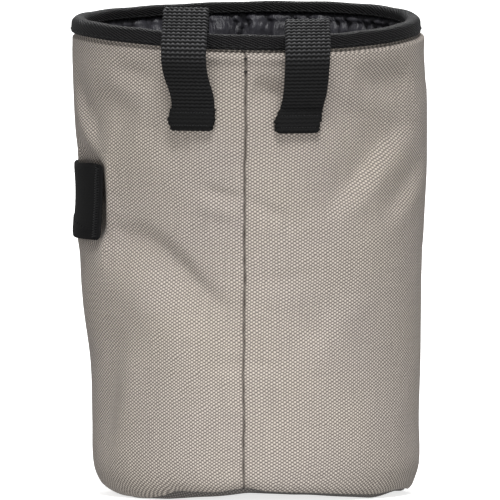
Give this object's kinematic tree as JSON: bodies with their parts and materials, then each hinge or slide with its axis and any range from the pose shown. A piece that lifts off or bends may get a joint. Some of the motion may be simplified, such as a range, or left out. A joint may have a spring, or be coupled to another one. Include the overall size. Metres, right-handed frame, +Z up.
{
  "type": "chalk bag",
  "caption": "Soft round cloth pot with a bound rim, a puckered lining, webbing loops for a belt at the back and an elastic loop for a brush at the side",
  "frame": {"origin": "on the ground, under the middle of the whole part's bounding box", "axes": "+Z up out of the mouth, -Y towards the back of the bag with the belt loops, +X to the right of a viewer who faces that back"},
  "size_m": [0.1186, 0.1122, 0.1637],
  "materials": {
    "shell_cloth": "coarse plain-woven polyester, matt, warm light grey",
    "base_cloth": "coarse plain-woven polyester, matt, dark grey",
    "lining_nylon": "thin nylon, slightly glossy, puckered, charcoal",
    "binding_tape": "twill tape, matt, black",
    "webbing": "ribbed polypropylene webbing, slightly glossy, black",
    "elastic": "smooth woven elastic, matt, black"
  },
  "bodies": {
    "root": {"shell_wall": "shell_cloth", "base_panel": "base_cloth", "lining": "lining_nylon", "rim_binding": "binding_tape", "belt_loop_left": "webbing", "belt_loop_right": "webbing", "brush_loop": "elastic"}
  },
  "joints": []
}
